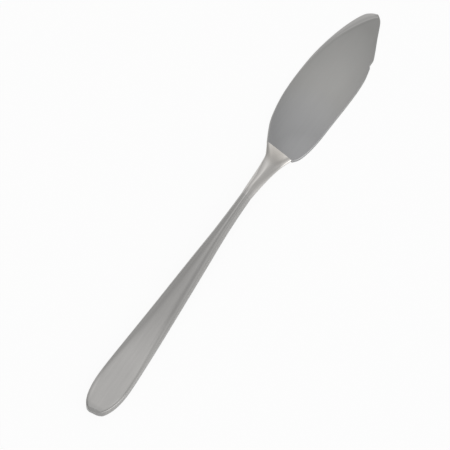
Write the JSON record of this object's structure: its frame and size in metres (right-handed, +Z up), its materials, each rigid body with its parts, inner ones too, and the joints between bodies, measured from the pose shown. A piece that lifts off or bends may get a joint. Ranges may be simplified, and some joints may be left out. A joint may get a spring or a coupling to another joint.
{
  "type": "fish knife",
  "caption": "Table fish knife with a broad leaf-shaped satin blade notched near the tip, a flared polished bolster and a slim tapering steel handle.",
  "frame": {"origin": "middle of the knife in plan, on the surface that it lies on", "axes": "+X along the knife from the butt to the tip, +Y towards the cutting edge, +Z up from the surface that it lies on"},
  "size_m": [0.2052, 0.0243, 0.0071],
  "materials": {
    "blade_steel": "satin ground stainless steel, finer along the ground edge",
    "bolster_steel": "polished stainless steel",
    "handle_steel": "satin polished stainless steel",
    "cement": "hard handle cement, not seen from outside"
  },
  "bodies": {
    "root": {"blade": "blade_steel", "bolster": "bolster_steel", "upper_handle_shell": "handle_steel", "lower_handle_shell": "handle_steel", "handle_filling": "cement"}
  },
  "joints": []
}
